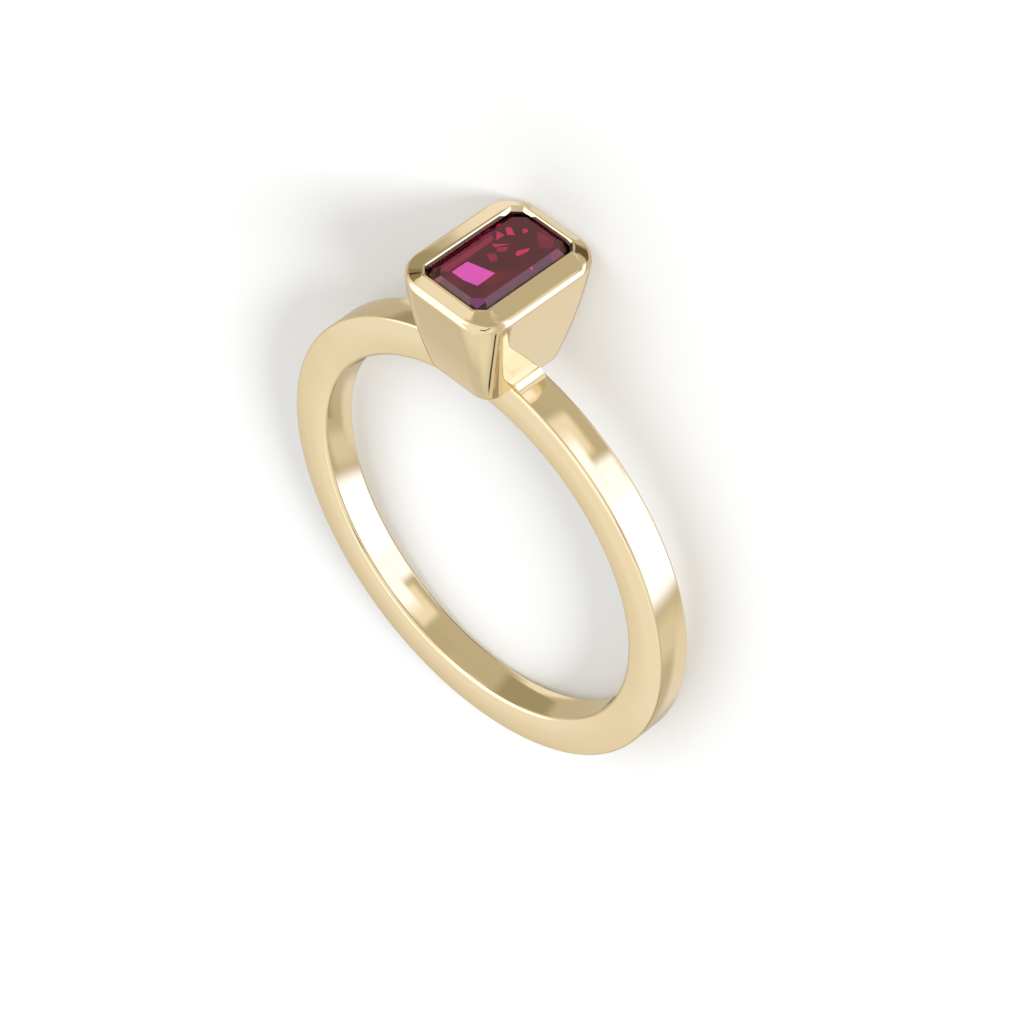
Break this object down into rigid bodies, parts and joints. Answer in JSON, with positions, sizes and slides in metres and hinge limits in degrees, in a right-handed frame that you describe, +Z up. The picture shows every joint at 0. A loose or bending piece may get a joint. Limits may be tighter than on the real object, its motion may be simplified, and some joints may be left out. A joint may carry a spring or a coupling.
{
  "type": "stacking ring",
  "caption": "Plain flat yellow gold finger ring with a tall tapered bezel that stands on the band and holds a red emerald cut stone, lying on its side as it rests by itself.",
  "frame": {"origin": "on the resting surface, under the middle of the ring's box as it lies", "axes": "+X from the finger hole towards the bezel, +Z up, and the finger hole's axis leans 5.5 degrees from +Z because the ring lies on the rim of its bezel and the far edge of its band"},
  "size_m": [0.0262, 0.0208, 0.0065],
  "materials": {
    "gold": "mirror polished pale yellow gold",
    "ruby": "faceted and polished, deep pinkish red"
  },
  "bodies": {
    "root": {"band_and_bezel": "gold", "stone": "ruby"}
  },
  "joints": []
}
